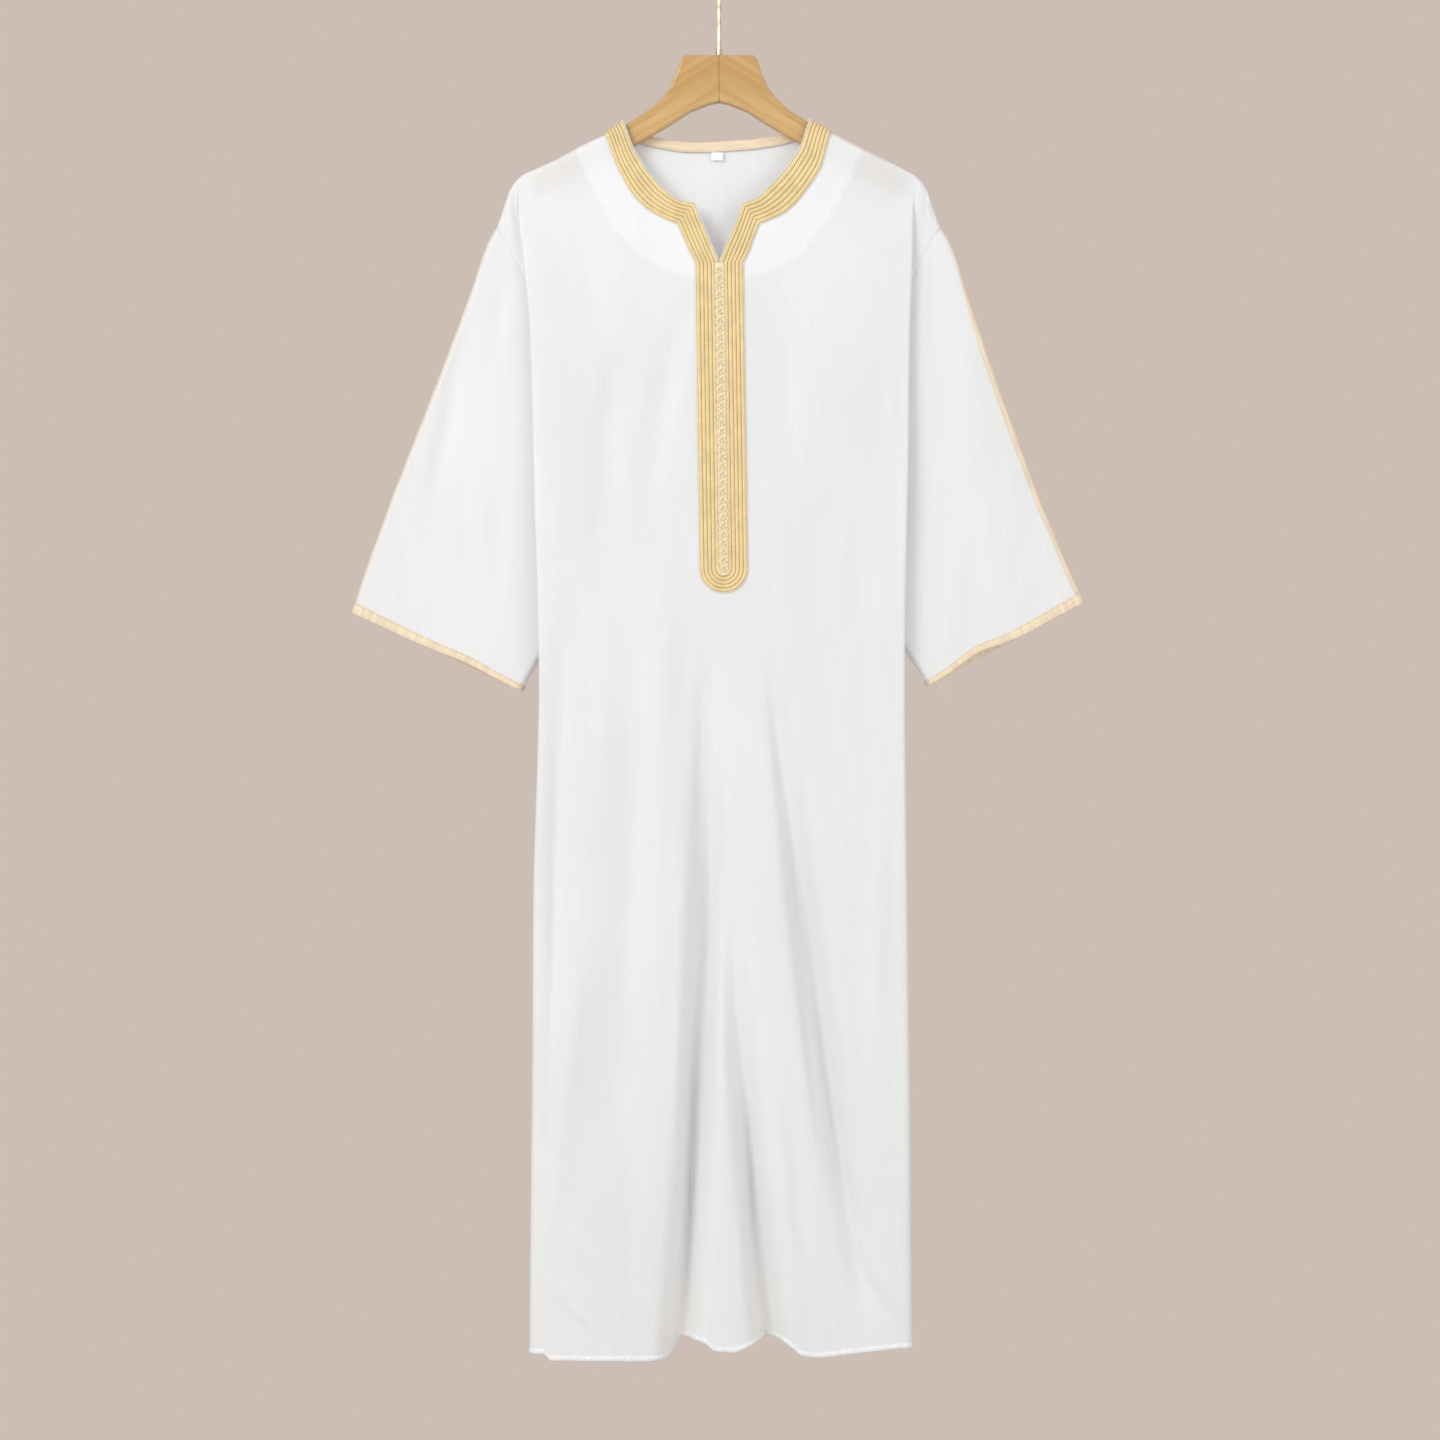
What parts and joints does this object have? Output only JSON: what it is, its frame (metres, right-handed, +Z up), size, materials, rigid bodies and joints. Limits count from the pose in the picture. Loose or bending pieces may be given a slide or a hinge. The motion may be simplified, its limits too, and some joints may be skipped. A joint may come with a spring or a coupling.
{
  "type": "thobe robe on a hanger",
  "caption": "Long white robe with wide open sleeves, corded gold braid round the neck and down the placket and peach satin bindings, hung flat on a plain wooden hanger with a wire hook.",
  "frame": {"origin": "the seat of the hook: the point of its inner top that rests on a rail", "axes": "+Z up, -Y towards the viewer of the robe's front, +X to that viewer's right"},
  "size_m": [0.7986, 0.1014, 1.5284],
  "materials": {
    "white_cloth": "soft sheen",
    "peach_satin": "satin",
    "gold_braid": "satin cord",
    "cream_knots": "satin cord",
    "label_white": "woven matte",
    "beech": "clear satin lacquer",
    "brass": "polished"
  },
  "bodies": {
    "root": {"front_panel": "white_cloth", "back_panel": "white_cloth", "sleeve_left_front": "white_cloth", "sleeve_left_back": "white_cloth", "sleeve_right_front": "white_cloth", "sleeve_right_back": "white_cloth", "sleeve_left_tape": "peach_satin", "sleeve_right_tape": "peach_satin", "cuff_binding_left": "peach_satin", "cuff_binding_right": "peach_satin", "back_neck_binding": "peach_satin", "neck_braid": "gold_braid", "knot_buttons": "cream_knots", "size_label": "label_white", "hanger": "beech", "hook_ferrule": "brass", "hook": "brass"}
  },
  "joints": []
}
